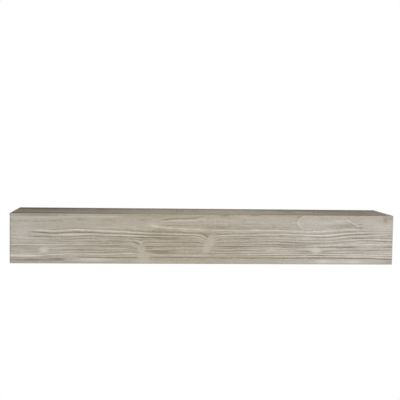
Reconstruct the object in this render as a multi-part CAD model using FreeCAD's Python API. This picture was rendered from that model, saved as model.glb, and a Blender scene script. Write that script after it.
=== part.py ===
"""Floating mantel shelf: a hollow mitred box beam that hangs on a bevelled wall cleat.

X runs along the beam, -Y points from the wall into the room and +Z is up.
The origin is on the wall plane, at the middle of the wall cleat's screw line.
Lengths are millimetres and angles are degrees.
"""

import FreeCAD, Part
import math
import os

from FreeCAD import Vector

# Beam, outside sizes and the boards it is folded from
length = 1219.2
depth = 228.6
height = 158.75
board = 19.05
arris_radius = 2.0

# Bevelled cleats: one on the wall, one hanging inside the beam
cleat_thickness = 18.0
bevel_angle = 45.0
bevel_blunt = 2.0
wall_cleat_below = 16.0
wall_cleat_above = 16.0
wall_cleat_side_play = 3.0
hanger_wall_gap = 1.0
hanger_end_gap = 0.5
lift_clearance = 8.0

# Countersunk holes for the wall screws, half a stud spacing apart
wall_hole_pitch = 203.2
wall_hole_radius = 3.5
wall_countersink_radius = 7.0
wall_hole_end_distance = 30.0

# Ribs across the hollow, let into the top and bottom boards
rib_count = 3
rib_thickness = 18.0
housing_depth = 5.0
glue_gap = 0.1

# Glue strips along the inside corners behind the front board
strip_size = 22.0
strip_chamfer = 9.0
strip_end_gap = 3.0

# Flat beech biscuits that key the mitres
biscuit_length = 47.0
biscuit_width = 15.0
biscuit_thickness = 4.0
biscuit_heel = 9.0
biscuit_corner_gap = 2.5
biscuit_pitch = 130.0
slot_play = 0.5
slot_fit = 0.05

# Countersunk wood screws that hold the hanging cleat to the ribs
screw_length = 50.0
screw_radius = 2.25
screw_head_radius = 4.2
screw_tip_length = 6.0
screw_edge_margin = 11.0
screw_row_pitch = 20.0
screw_fit = 0.05
recess_wall = 0.15
recess_width = 1.1
recess_depth = 1.8

# Places worked out from the sizes above
bevel_slope = math.tan(math.radians(bevel_angle))
bevel_rise = cleat_thickness * bevel_slope
underside = -(board + bevel_rise + lift_clearance + wall_cleat_below)
top_face = underside + height
floor_level = underside + board
ceiling_level = top_face - board
front_face = -depth
front_inside = front_face + board
half_length = length / 2
half_inside = half_length - board
hanger_front = -(hanger_wall_gap + cleat_thickness)
hanger_lower_front = wall_cleat_above - hanger_front * bevel_slope
rib_centres = [
    half_inside * (2 * (i + 1) / (rib_count + 1) - 1) for i in range(rib_count)
]


def box(low, high):
    """A block between two opposite corners."""
    return Part.makeBox(*(high - low), low)


def prism_along_x(outline, x_start, x_end):
    """A bar whose section is an outline of (y, z) points."""
    points = [Vector(x_start, y, z) for y, z in outline]
    face = Part.Face(Part.makePolygon(points + points[:1]))
    return face.extrude(Vector(x_end - x_start, 0, 0))


def prism_along_z(outline, z_start, z_end):
    """A post whose section is an outline of (x, y) points."""
    points = [Vector(x, y, z_start) for x, y in outline]
    face = Part.Face(Part.makePolygon(points + points[:1]))
    return face.extrude(Vector(0, 0, z_end - z_start))


def spread(start, end, pitch):
    """Evenly spaced places from start to end, about one pitch apart, or the middle alone."""
    steps = math.floor((end - start) / pitch)
    if steps < 1:
        return [(start + end) / 2]
    return [start + (end - start) * i / steps for i in range(steps + 1)]


def eased_hull():
    """The beam's outside, with every arris eased but those against the wall."""
    hull = box(Vector(-half_length, front_face, underside), Vector(half_length, 0, top_face))
    room_edges = [
        edge for edge in hull.Edges if any(vertex.Y < front_face / 2 for vertex in edge.Vertexes)
    ]
    return hull.makeFillet(arris_radius, room_edges)


def mitred_board(outside, inside):
    """A board lofted from its outside rectangle to its smaller inside rectangle."""
    wires = [Part.makePolygon(corners + corners[:1]) for corners in (outside, inside)]
    return Part.makeLoft(wires, True, True)


def lying_corners(half_width, y_front, z):
    """The corners of a level rectangle that reaches back to the wall."""
    return [
        Vector(-half_width, y_front, z),
        Vector(half_width, y_front, z),
        Vector(half_width, 0, z),
        Vector(-half_width, 0, z),
    ]


def facing_corners(half_width, y, z_low, z_high):
    """The corners of an upright rectangle that faces the room."""
    return [
        Vector(-half_width, y, z_low),
        Vector(half_width, y, z_low),
        Vector(half_width, y, z_high),
        Vector(-half_width, y, z_high),
    ]


def end_corners(x, y_front, z_low, z_high):
    """The corners of an upright rectangle across the beam that reaches back to the wall."""
    return [
        Vector(x, y_front, z_low),
        Vector(x, 0, z_low),
        Vector(x, 0, z_high),
        Vector(x, y_front, z_high),
    ]


def plain_boards():
    """The five outer boards with their mitres and eased arrises, before any joinery is cut."""
    wedges = {
        "front_board": mitred_board(
            facing_corners(half_length, front_face, underside, top_face),
            facing_corners(half_inside, front_inside, floor_level, ceiling_level),
        ),
        "top_board": mitred_board(
            lying_corners(half_length, front_face, top_face),
            lying_corners(half_inside, front_inside, ceiling_level),
        ),
        "bottom_board": mitred_board(
            lying_corners(half_length, front_face, underside),
            lying_corners(half_inside, front_inside, floor_level),
        ),
    }
    for side, name in ((-1, "left_end_board"), (1, "right_end_board")):
        wedges[name] = mitred_board(
            end_corners(side * half_length, front_face, underside, top_face),
            end_corners(side * half_inside, front_inside, floor_level, ceiling_level),
        )
    hull = eased_hull()
    return {name: wedge.common(hull) for name, wedge in wedges.items()}


def biscuit(play, fit):
    """A lens-shaped biscuit lying flat at the origin, larger all round by play and fit."""
    half_span = biscuit_length / 2 + play
    half_wide = biscuit_width / 2 + play
    half_thick = biscuit_thickness / 2 + fit
    tips = [Vector(-half_span, 0, -half_thick), Vector(half_span, 0, -half_thick)]
    arcs = [
        Part.Arc(tips[0], Vector(0, half_wide * side, -half_thick), tips[1]).toShape()
        for side in (-1, 1)
    ]
    return Part.Face(Part.Wire(arcs)).extrude(Vector(0, 0, 2 * half_thick))


def mitre_joints():
    """Each mitre's outer edge: its middle, its direction, its length and the two ways inwards."""
    middle_y = front_face / 2
    middle_z = (underside + top_face) / 2
    along_x, along_y, along_z = Vector(1, 0, 0), Vector(0, 1, 0), Vector(0, 0, 1)
    joints = {
        "front_top_biscuits": [
            (Vector(0, front_face, top_face), along_x, length, along_y, -along_z)
        ],
        "front_bottom_biscuits": [
            (Vector(0, front_face, underside), along_x, length, along_y, along_z)
        ],
    }
    for side, name in ((-1, "left_end_biscuits"), (1, "right_end_biscuits")):
        x = side * half_length
        inwards = along_x * -side
        joints[name] = [
            (Vector(x, front_face, middle_z), along_z, height, inwards, along_y),
            (Vector(x, middle_y, top_face), along_y, depth, inwards, -along_z),
            (Vector(x, middle_y, underside), along_y, depth, inwards, along_z),
        ]
    return joints


def biscuit_placements(joint):
    """Where the biscuits of one mitre lie: flat across the mitre, nearer its inner edge."""
    middle, along, span, inwards_a, inwards_b = joint
    down_mitre = (inwards_a + inwards_b).normalize()
    across = down_mitre.cross(along)
    seat = middle + down_mitre * (board * math.sqrt(2) - biscuit_heel)
    end_margin = board + biscuit_length / 2 + biscuit_corner_gap
    reach = span / 2 - end_margin
    placements = []
    for place in spread(-reach, reach, biscuit_pitch):
        at = seat + along * place
        placements.append(
            FreeCAD.Placement(
                FreeCAD.Matrix(
                    along.x, across.x, down_mitre.x, at.x,
                    along.y, across.y, down_mitre.y, at.y,
                    along.z, across.z, down_mitre.z, at.z,
                    0, 0, 0, 1,
                )
            )
        )
    return placements


def placed(shape, placement):
    """A copy of a shape at a placement."""
    copy = shape.copy()
    copy.Placement = placement
    return copy


def biscuits_and_slots():
    """The biscuits of each group of mitres, and one list of the slots that take them."""
    whole = biscuit(0, 0)
    slot = biscuit(slot_play, slot_fit)
    groups = {}
    slots = []
    for name, joints in mitre_joints().items():
        places = [place for joint in joints for place in biscuit_placements(joint)]
        groups[name] = [placed(whole, place) for place in places]
        slots += [placed(slot, place) for place in places]
    return groups, slots


def rib_blank(centre, end_play, side_play):
    """A rib, or the room that it takes up in the top and bottom boards."""
    half_thick = rib_thickness / 2 + side_play
    reach = housing_depth - glue_gap + end_play
    return box(
        Vector(centre - half_thick, front_inside, floor_level - reach),
        Vector(centre + half_thick, hanger_front + side_play, ceiling_level + reach),
    )


def screw_profile(spare):
    """A screw lying along +Z with its head at the origin, larger all round by spare."""
    shank = screw_radius + spare
    head = screw_head_radius + spare
    head_depth = screw_head_radius - screw_radius
    end = screw_length + spare
    points = [
        Vector(0, 0, 0),
        Vector(head, 0, 0),
        Vector(shank, 0, head_depth),
        Vector(shank, 0, end - screw_tip_length),
        Vector(0, 0, end),
    ]
    face = Part.Face(Part.makePolygon(points + points[:1]))
    return face.revolve(Vector(0, 0, 0), Vector(0, 0, 1), 360)


def screw():
    """A countersunk screw with a cross recess."""
    shape = screw_profile(0)
    half_span, half_width = screw_radius - recess_wall, recess_width / 2
    for half_x, half_y in ((half_span, half_width), (half_width, half_span)):
        shape = shape.cut(
            box(Vector(-half_x, -half_y, 0), Vector(half_x, half_y, recess_depth))
        )
    return shape


def screw_placements():
    """Each rib takes a row of screws through the hanging cleat, driven from the wall side."""
    heights = spread(
        hanger_lower_front + screw_edge_margin, ceiling_level - screw_edge_margin, screw_row_pitch
    )
    into_rib = FreeCAD.Rotation(Vector(1, 0, 0), 90)
    return [
        FreeCAD.Placement(Vector(x, -hanger_wall_gap, z), into_rib)
        for x in rib_centres
        for z in heights
    ]


def hanging_cleat():
    """The upper cleat: its bevel faces down and sits on the wall cleat."""
    back = -hanger_wall_gap
    tip = wall_cleat_above - back * bevel_slope + bevel_blunt
    outline = [
        (back, tip),
        (back - bevel_blunt / bevel_slope, tip),
        (hanger_front, hanger_lower_front),
        (hanger_front, ceiling_level),
        (back, ceiling_level),
    ]
    reach = half_inside - hanger_end_gap
    return prism_along_x(outline, -reach, reach)


def wall_cleat():
    """The lower cleat, which is screwed to the wall: its bevel faces up and back."""
    tip = wall_cleat_above + bevel_rise - bevel_blunt
    outline = [
        (0, -wall_cleat_below),
        (0, wall_cleat_above),
        (-cleat_thickness + bevel_blunt / bevel_slope, tip),
        (-cleat_thickness, tip),
        (-cleat_thickness, -wall_cleat_below),
    ]
    reach = half_inside - wall_cleat_side_play
    cleat = prism_along_x(outline, -reach, reach)
    sink_depth = wall_countersink_radius - wall_hole_radius
    towards_wall = Vector(0, 1, 0)
    pairs = math.floor((reach - wall_hole_end_distance) / wall_hole_pitch + 0.5)
    for i in range(-pairs, pairs):
        mouth = Vector((i + 0.5) * wall_hole_pitch, -cleat_thickness, 0)
        cleat = cleat.cut(
            Part.makeCylinder(wall_hole_radius, cleat_thickness, mouth, towards_wall)
        )
        cleat = cleat.cut(
            Part.makeCone(
                wall_countersink_radius, wall_hole_radius, sink_depth, mouth, towards_wall
            )
        )
    return cleat


def glue_strips():
    """Chamfered strips behind the front board, one between each pair of ribs, above and below."""
    stops = [-half_inside + strip_size]
    for centre in rib_centres:
        stops += [centre - rib_thickness / 2, centre + rib_thickness / 2]
    stops.append(half_inside - strip_size)
    strips = {}
    for level, up, corner in (("top", -1, ceiling_level), ("bottom", 1, floor_level)):
        outline = [
            (front_inside, corner),
            (front_inside + strip_size, corner),
            (front_inside + strip_size, corner + up * (strip_size - strip_chamfer)),
            (front_inside + strip_size - strip_chamfer, corner + up * strip_size),
            (front_inside, corner + up * strip_size),
        ]
        for bay in range(rib_count + 1):
            start, end = stops[2 * bay] + strip_end_gap, stops[2 * bay + 1] - strip_end_gap
            strips[f"{level}_glue_strip_{bay + 1}"] = prism_along_x(outline, start, end)
    return strips


def corner_blocks():
    """Upright chamfered blocks where the end boards meet the front board."""
    blocks = {}
    for side, name in ((-1, "left_corner_block"), (1, "right_corner_block")):
        corner = side * half_inside
        outline = [
            (corner, front_inside),
            (corner - side * strip_size, front_inside),
            (corner - side * strip_size, front_inside + strip_size - strip_chamfer),
            (corner - side * (strip_size - strip_chamfer), front_inside + strip_size),
            (corner, front_inside + strip_size),
        ]
        blocks[name] = prism_along_z(outline, floor_level, ceiling_level)
    return blocks


def build():
    """Every piece of the shelf by name, each a list of separate solids."""
    biscuits, slots = biscuits_and_slots()
    housings = [rib_blank(centre, glue_gap, glue_gap) for centre in rib_centres]
    screw_places = screw_placements()
    screw_holes = [placed(screw_profile(screw_fit), place) for place in screw_places]
    ribs = [rib_blank(centre, 0, 0).cut(screw_holes) for centre in rib_centres]

    pieces = {name: [shape.cut(slots)] for name, shape in plain_boards().items()}
    for name in ("top_board", "bottom_board"):
        pieces[name] = [pieces[name][0].cut(housings)]
    pieces.update(biscuits)
    for number, rib in enumerate(ribs, 1):
        pieces[f"rib_{number}"] = [rib]
    for name, shape in {**glue_strips(), **corner_blocks()}.items():
        pieces[name] = [shape]
    pieces["hanging_cleat"] = [hanging_cleat().cut(screw_holes)]
    pieces["hanging_cleat_screws"] = [placed(screw(), place) for place in screw_places]
    pieces["wall_cleat"] = [wall_cleat()]
    return pieces


def main():
    os.makedirs("parts", exist_ok=True)
    for name, shapes in build().items():
        solids = [solid for shape in shapes for solid in shape.Solids]
        whole = solids[0] if len(solids) == 1 else Part.makeCompound(solids)
        whole.exportStep(f"parts/{name}.step")
        valid = all(solid.isValid() and solid.Volume > 0 for solid in solids)
        print(f"{name}: {len(solids)} solids, {whole.Volume / 1000:.1f} cm3, valid {valid}")


main()
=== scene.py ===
# %% [markdown]
# # A floating mantel shelf in grey-washed, wire-brushed pine
# The object is a hollow beam folded from five mitred boards. It hangs on a bevelled cleat on the wall.
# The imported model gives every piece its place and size. This lesson gives the pieces their surfaces: grain
# that a wire brush has opened, a thin grey wash, bare pine inside, plywood cleats and zinc screws.

# %% Load the fixed frame
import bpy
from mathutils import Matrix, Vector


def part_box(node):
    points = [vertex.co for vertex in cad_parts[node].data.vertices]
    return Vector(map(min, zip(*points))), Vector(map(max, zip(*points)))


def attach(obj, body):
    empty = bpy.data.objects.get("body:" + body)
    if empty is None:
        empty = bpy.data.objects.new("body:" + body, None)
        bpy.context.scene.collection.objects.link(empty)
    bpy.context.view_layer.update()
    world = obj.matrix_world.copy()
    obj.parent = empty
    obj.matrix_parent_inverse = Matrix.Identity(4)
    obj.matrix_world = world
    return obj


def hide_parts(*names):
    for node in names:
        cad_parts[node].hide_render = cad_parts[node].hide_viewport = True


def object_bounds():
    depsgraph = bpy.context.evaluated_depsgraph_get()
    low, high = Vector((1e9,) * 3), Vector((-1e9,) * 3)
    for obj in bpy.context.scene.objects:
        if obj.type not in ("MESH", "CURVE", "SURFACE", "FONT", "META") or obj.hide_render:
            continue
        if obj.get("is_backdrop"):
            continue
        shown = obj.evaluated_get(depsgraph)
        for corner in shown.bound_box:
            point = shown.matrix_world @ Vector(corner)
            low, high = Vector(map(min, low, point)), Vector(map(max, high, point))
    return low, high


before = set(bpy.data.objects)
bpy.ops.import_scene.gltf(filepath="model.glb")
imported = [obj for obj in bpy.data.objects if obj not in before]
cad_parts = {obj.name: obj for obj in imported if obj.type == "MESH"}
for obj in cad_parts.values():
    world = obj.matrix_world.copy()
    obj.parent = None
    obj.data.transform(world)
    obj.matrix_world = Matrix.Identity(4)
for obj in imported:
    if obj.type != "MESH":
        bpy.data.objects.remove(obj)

import inspect
import math
from collections import namedtuple

import bmesh
import bpy
from mathutils import Vector

scene = bpy.context.scene
cad_low, cad_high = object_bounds()

# %% [markdown]
# ## Sizes
# Wood is measured in millimetres, and Blender's unit here is the metre. All sizes come from the frame, so
# nothing has to be fitted afterwards. The five boards share one thickness, which the top board shows.

# %% Measure the beam
MM = 0.001
length, depth, height = (cad_high - cad_low) / MM
top_low, top_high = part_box("top_board")
board = (top_high.z - top_low.z) / MM
left, front, underside = cad_low
right, _, top = cad_high
print(f"beam {length:.1f} x {depth:.1f} x {height:.1f} mm, boards {board:.2f} mm")

# %% [markdown]
# ## Camera
# The view is a straight-on product shot with a long lens, a little above the top and a touch left of the
# middle. The beam's size is known, so its corners and edges were enough to work out the lens and the place
# of the camera.

# %% Set up the camera
CAMERA_PLACE = (-0.213, -2.8544, 0.3218)
CAMERA_TURN_DEGREES = (86.116, -0.817, -4.236)
LENS_MM = 75.19
SENSOR_MM = 36.0

camera_data = bpy.data.cameras.new("product_camera")
camera_data.sensor_width = SENSOR_MM
camera_data.lens = LENS_MM
camera = bpy.data.objects.new("product_camera", camera_data)
camera.location = CAMERA_PLACE
camera.rotation_euler = [math.radians(turn) for turn in CAMERA_TURN_DEGREES]
scene.collection.objects.link(camera)
scene.camera = camera
scene.view_settings.view_transform = "Standard"
print("camera at", tuple(round(v, 3) for v in camera.location))

# %% [markdown]
# ## Nodes written as arithmetic
# Grain is a rule: a height and a shade worked out at each point from where that point lies on the board.
# In Blender such rules are trees of Math nodes, which are long to wire by hand. The small class below lets
# a formula be written as ordinary arithmetic, and each sign becomes one node. The same class serves
# Geometry Nodes and materials, because both use the same Math, Noise and Map Range nodes. Most rules need
# soft noise. A Speckle names one kind of it: the length and width of a bump, a seed, the detail and the
# strength. A rule that is used often becomes a node group, which has named sockets.

# %% Fields: numbers that change over a surface
class Field:
    """A number at every point, held by a node's output, with everyday arithmetic."""

    def __init__(self, tree, socket):
        self.tree = tree
        self.socket = socket

    def __add__(self, other):
        return calculate(self.tree, "ADD", self, other)

    def __sub__(self, other):
        return calculate(self.tree, "SUBTRACT", self, other)

    def __mul__(self, other):
        return calculate(self.tree, "MULTIPLY", self, other)

    def __truediv__(self, other):
        return calculate(self.tree, "DIVIDE", self, other)

    def __rsub__(self, other):
        return calculate(self.tree, "SUBTRACT", other, self)

    __radd__ = __add__
    __rmul__ = __mul__


def feed(tree, socket, value):
    """Links a field to a socket, or sets the socket to a plain value."""
    if isinstance(value, Field):
        tree.links.new(value.socket, socket)
    else:
        socket.default_value = value


def calculate(tree, operation, *values):
    """One Math node."""
    node = tree.nodes.new("ShaderNodeMath")
    node.operation = operation
    for socket, value in zip(node.inputs, values):
        feed(tree, socket, value)
    return Field(tree, node.outputs[0])


print("fields can be added, subtracted, multiplied and divided")


# %% Everyday functions of fields
def smaller(field, other):
    return calculate(field.tree, "MINIMUM", field, other)


def larger(field, other):
    return calculate(field.tree, "MAXIMUM", field, other)


def size_of(field):
    return calculate(field.tree, "ABSOLUTE", field)


def root(field):
    return calculate(field.tree, "SQRT", field)


def bell(field):
    """1 where the field is 0, falling smoothly to nothing either side."""
    return calculate(field.tree, "EXPONENT", field * field * -1.0)


def blend(share, first, second):
    """The first value where the share is 0, and the second where it is 1."""
    return first + (second - first) * share


def ramp(field, start, end):
    """0 up to start, 1 from end on, with a smooth rise between them."""
    node = field.tree.nodes.new("ShaderNodeMapRange")
    node.interpolation_type = "SMOOTHSTEP"
    for socket, value in zip(node.inputs, (field, start, end, 0.0, 1.0)):
        feed(field.tree, socket, value)
    return Field(field.tree, node.outputs[0])


print("functions of fields are ready")

# %% Soft noise
Speckle = namedtuple("Speckle", "length width seed detail strength")


def vector(tree, x, y, z):
    """Three fields or numbers as one vector."""
    node = tree.nodes.new("ShaderNodeCombineXYZ")
    for socket, value in zip(node.inputs, (x, y, z)):
        feed(tree, socket, value)
    return Field(tree, node.outputs[0])


def speckle(along, across, kind, seed=0.0):
    """Soft noise round 0. Another seed gives another noise of the same kind."""
    tree = along.tree
    node = tree.nodes.new("ShaderNodeTexNoise")
    place = vector(tree, along / kind.length, across / kind.width, seed + kind.seed)
    feed(tree, node.inputs["Vector"], place)
    node.inputs["Scale"].default_value = 1.0
    node.inputs["Detail"].default_value = kind.detail
    return (Field(tree, node.outputs[0]) - 0.5) * kind.strength


print("a speckle has", ", ".join(Speckle._fields))


# %% Node groups and colour ramps
def sockets(kind, *labels):
    """Sockets of one kind for a node group, by name."""
    return dict.fromkeys(labels, "NodeSocket" + kind)


def new_group(name, kind, inputs, outputs):
    """An empty node group with named sockets, its inputs as fields, and its end node."""
    tree = bpy.data.node_groups.new(name, kind)
    for label, socket_type in inputs.items():
        tree.interface.new_socket(label, in_out="INPUT", socket_type=socket_type)
    for label, socket_type in outputs.items():
        tree.interface.new_socket(label, in_out="OUTPUT", socket_type=socket_type)
    given = tree.nodes.new("NodeGroupInput")
    made = tree.nodes.new("NodeGroupOutput")
    fields = {label: Field(tree, given.outputs[label]) for label in inputs}
    return tree, fields, made


def separate(field):
    """The three parts of a vector."""
    node = field.tree.nodes.new("ShaderNodeSeparateXYZ")
    feed(field.tree, node.inputs[0], field)
    return [Field(field.tree, socket) for socket in node.outputs]


def colours(share, *stops):
    """A colour ramp: each stop is a place from 0 to 1 and a colour."""
    node = share.tree.nodes.new("ShaderNodeValToRGB")
    feed(share.tree, node.inputs[0], share)
    elements = node.color_ramp.elements
    while len(elements) < len(stops):
        elements.new(1.0)
    for element, (place, colour) in zip(elements, stops):
        element.position = place
        element.color = colour
    return Field(share.tree, node.outputs[0])


print("node groups can have named sockets")

# %% [markdown]
# ## Bare pine
# Inside, on the mitres and on the back edges, the boards are plain planed pine, and so are the ribs, the
# glue strips and the corner blocks. Pine shows pale early wood and thin brown late wood. As a solid
# texture, the rings are cylinders round a pith line, so faces show long grain and cut ends show arcs by
# themselves. Each piece only has to say which way its grain runs, so this is one node group.

# %% Node group: bare pine
RING_SPACING = 6.4
RING_PHASE = 0.5
PITH_ASIDE = 42.0
PITH_BELOW = 56.0
RING_WANDER = Speckle(260.0, 90.0, 3.0, 2.0, 22.0)
RING_SWAY = Speckle(310.0, 120.0, 7.0, 2.0, 18.0)
RING_UNEVEN = Speckle(9.0, 400.0, 5.0, 2.0, 1.0)
LATE_FROM, LATE_FULL, LATE_TO = 0.35, 0.86, 0.9
LATE_SHADE, LATE_HEIGHT = 0.5, 0.4
PINE_FIBRE = Speckle(24.0, 0.45, 11.0, 3.0, 1.0)
FIBRE_UPRIGHT = 0.9
FIBRE_SHADE, FIBRE_HEIGHT = 0.5, 0.6
PINE_SHADE = 0.1
PINE_EARLY = (0.71, 0.49, 0.25, 1.0)
PINE_LATE = (0.47, 0.25, 0.095, 1.0)


def bare_pine_group():
    inputs = sockets("Float", "Along", "Aside", "Up")
    outputs = {**sockets("Color", "Color"), **sockets("Float", "Height")}
    tree, given, made = new_group("Bare pine", "ShaderNodeTree", inputs, outputs)
    along, aside, up = given["Along"], given["Aside"], given["Up"]
    across_pith = aside + PITH_ASIDE + speckle(along, aside, RING_WANDER)
    over_pith = up + PITH_BELOW + speckle(along, up, RING_SWAY)
    radius = root(across_pith * across_pith + over_pith * over_pith)
    turn = radius / RING_SPACING + speckle(radius, along, RING_UNEVEN) + RING_PHASE
    year = calculate(tree, "FRACT", turn)
    late = ramp(year, LATE_FROM, LATE_FULL) * (1.0 - ramp(year, LATE_TO, 1.0))
    fibre = speckle(along, aside + up * FIBRE_UPRIGHT, PINE_FIBRE)
    shade = late * LATE_SHADE + fibre * FIBRE_SHADE + PINE_SHADE
    feed(tree, made.inputs["Color"], colours(shade, (0.0, PINE_EARLY), (1.0, PINE_LATE)))
    feed(tree, made.inputs["Height"], fibre * FIBRE_HEIGHT + late * LATE_HEIGHT)
    return tree


bare_pine = bare_pine_group()
print("group:", bare_pine.name, "with", len(bare_pine.nodes), "nodes")

# %% [markdown]
# ## Grey wash over brushed grain
# The outside was wire-brushed, which wears the soft early wood away, and then washed with thin grey
# paint. The paint lies pale and chalky on the ridges, and brown-grey dirt stays in the grooves, and the
# colour adds painted highlight on the crests and painted shade in the grooves. The mesh carries what the
# brush did as attributes: how proud a point stands, its place along the grain, the growth line it lies on,
# the shade of its patch, how far it is from a knot, whose rings show through, and how near it is to an
# arris, where the wash has worn thin and painted shade darkens it. This group turns them into colour, so
# colour and relief agree.

# %% Colours of the wash
WASH_STOPS = (
    (0.0, (0.155, 0.128, 0.092, 1.0)),  # dirt and painted shade in the deepest grooves
    (0.26, (0.300, 0.262, 0.207, 1.0)),
    (0.5, (0.434, 0.392, 0.332, 1.0)),
    (0.76, (0.565, 0.524, 0.468, 1.0)),
    (1.0, (0.680, 0.650, 0.608, 1.0)),  # chalky paint and painted highlight on the crests
)
HUE_STOPS = (
    (0.38, (1.0, 0.993, 1.0, 1.0)),  # pinkish
    (0.62, (0.993, 1.0, 0.988, 1.0)),  # greenish
)
# worn wood at the arris, made darker so that it also paints the shade along the arris
WORN_WOOD = (0.360, 0.305, 0.235, 1.0)
COLOUR_A, COLOUR_B, COLOUR_RESULT = 6, 7, 2


def mix_colours(share, first, second, blend_type="MIX"):
    """A Mix node for colours. The share is a field or a number."""
    tree = first.tree
    node = tree.nodes.new("ShaderNodeMix")
    node.data_type = "RGBA"
    node.blend_type = blend_type
    feed(tree, node.inputs[0], share)
    feed(tree, node.inputs[COLOUR_A], first)
    feed(tree, node.inputs[COLOUR_B], second)
    return Field(tree, node.outputs[COLOUR_RESULT])


print("the wash has", len(WASH_STOPS), "tones, from dirt to chalk")

# %% Node group: grey wash
WASH_CARRIED = ("Along", "Flow", "Proud", "Shade", "Knot", "Edge")
FULL_TURN = math.tau
MIDDLE_TONE = 0.5
# how much lighter the crests and darker the grooves are: partly the wash itself, partly painted highlight and
# shade of the relief
PROUD_TONE, SHADE_TONE, PORE_TONE = 0.36, 0.22, -0.10
FIBRE_TONE, SMEAR_TONE, RING_TONE = 0.34, 0.22, 0.07
WASH_FIBRE = Speckle(34.0, 0.8, 2.0, 3.0, 1.0)
WASH_SMEAR = Speckle(40.0, 3.2, 6.0, 3.0, 1.0)
WASH_CLOUDS = Speckle(170.0, 42.0, 4.0, 2.0, 0.24)
WASH_SPECKS = Speckle(5.0, 1.8, 13.0, 1.0, 0.22)
WASH_BLOTS = Speckle(11.0, 5.0, 21.0, 2.0, 0.24)
PORES = Speckle(13.0, 0.55, 9.0, 1.0, 1.0)
PORE_FROM, PORE_TO = 0.12, 0.24
KNOT_RINGS = 4.0
RINGS_KEPT, RINGS_GONE = 0.6, 1.2
HUE_PATCHES = Speckle(130.0, 15.0, 17.0, 2.0, 1.0)
WEAR = Speckle(16.0, 9.0, 19.0, 2.0, 1.0)
EDGE_WEAR = 0.8
WEAR_FROM, WEAR_TO = 0.55, 0.85
MOST_WORN = 0.6
WASH_ROUGHNESS, SMOOTH_CREST, ROUGH_FIBRE = 0.86, -0.08, 0.1
PORE_DEPTH = 0.5


def grey_wash_group():
    inputs = {**sockets("Float", *WASH_CARRIED), **sockets("Color", "Tint")}
    outputs = {**sockets("Color", "Color"), **sockets("Float", "Roughness", "Height")}
    tree, given, made = new_group("Grey wash", "ShaderNodeTree", inputs, outputs)
    along, flow, proud, shade, knot, edge = (given[label] for label in WASH_CARRIED)
    fibre = speckle(along, flow, WASH_FIBRE)
    smear = speckle(along, flow, WASH_SMEAR)
    pores = ramp(speckle(along, flow, PORES), PORE_FROM, PORE_TO)
    rings = calculate(tree, "SINE", (knot * KNOT_RINGS + smear) * FULL_TURN)
    rings = rings * (1.0 - ramp(knot, RINGS_KEPT, RINGS_GONE))
    # the proud share paints highlight on the crests and shade in the grooves, besides the wash's own pale
    # crests and dirty grooves
    tone = MIDDLE_TONE + proud * PROUD_TONE + shade * SHADE_TONE + pores * PORE_TONE
    tone = tone + fibre * FIBRE_TONE + smear * SMEAR_TONE + rings * RING_TONE
    for kind in (WASH_CLOUDS, WASH_SPECKS, WASH_BLOTS):
        tone = tone + speckle(along, flow, kind)
    hue = colours(speckle(along, flow, HUE_PATCHES) + 0.5, *HUE_STOPS)
    washed = colours(tone, *WASH_STOPS)
    for tint in (given["Tint"], hue):
        washed = mix_colours(1.0, washed, tint, "MULTIPLY")
    # near an arris the wash is worn thin, and the darker colour there is also painted shade along the arris
    worn = ramp(edge * EDGE_WEAR + speckle(along, flow, WEAR), WEAR_FROM, WEAR_TO)
    feed(tree, made.inputs["Color"], mix_colours(worn * MOST_WORN, washed, WORN_WOOD))
    feed(tree, made.inputs["Roughness"], WASH_ROUGHNESS + proud * SMOOTH_CREST + fibre * ROUGH_FIBRE)
    feed(tree, made.inputs["Height"], fibre - pores * PORE_DEPTH)
    return tree


grey_wash = grey_wash_group()
print("group:", grey_wash.name, "with", len(grey_wash.nodes), "nodes")

# %% [markdown]
# ## Finishes of the wooden pieces
# A board has two kinds of face. The attribute called brushed is 1 where the wire brush and the wash went
# and 0 on the mitres, the back edges and the inside, so one material can hold both and the line between
# them is as sharp as the arris. The inner pieces are bare pine all over, and differ only in the way that
# the grain runs: along the beam in the strips, front to back in the ribs, upright in the corner blocks.

# %% What every material needs
Surface = namedtuple("Surface", "bump_depth bump_strength specular")


def new_material(name):
    """A material with its tree and its Principled shader."""
    material = bpy.data.materials.new(name)
    material.use_nodes = True
    tree = material.node_tree
    return material, tree, tree.nodes["Principled BSDF"]


def coat(shader, colour, roughness, relief, surface):
    """Feeds a shader its colour, its roughness, its shine, and relief that is too fine for the mesh."""
    tree = colour.tree
    feed(tree, shader.inputs["Base Color"], colour)
    feed(tree, shader.inputs["Roughness"], roughness)
    shader.inputs["Specular IOR Level"].default_value = surface.specular
    node = tree.nodes.new("ShaderNodeBump")
    node.inputs["Strength"].default_value = surface.bump_strength
    node.inputs["Distance"].default_value = surface.bump_depth * MM
    feed(tree, node.inputs["Height"], relief)
    tree.links.new(node.outputs["Normal"], shader.inputs["Normal"])


def attribute(tree, name):
    node = tree.nodes.new("ShaderNodeAttribute")
    node.attribute_name = name
    return Field(tree, node.outputs["Fac"])


def object_place(tree):
    """Where a point lies in the frame, in millimetres."""
    node = tree.nodes.new("ShaderNodeTexCoord")
    return [part / MM for part in separate(Field(tree, node.outputs["Object"]))]


def place_group(tree, group, **inputs):
    """Puts a node group in a material and returns its outputs by name."""
    node = tree.nodes.new("ShaderNodeGroup")
    node.node_tree = group
    for label, value in inputs.items():
        feed(tree, node.inputs[label], value)
    return {socket.name: Field(tree, socket) for socket in node.outputs}


print("a surface has", ", ".join(Surface._fields))

# %% Materials: boards and inner pine
BRUSHED = Surface(0.25, 0.5, 0.08)
PLANED = Surface(0.15, 0.4, 0.35)
BARE_ROUGHNESS = 0.62
PLANED_ROUGHNESS, PLANED_UNEVEN = 0.58, 0.2
WASH_TINTS = (
    (0.05, (0.985, 0.990, 1.0, 1.0)),
    (0.42, (0.955, 0.935, 0.890, 1.0)),
    (0.80, (0.970, 0.975, 0.995, 1.0)),
    (0.95, (0.950, 0.970, 1.0, 1.0)),
)
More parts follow.
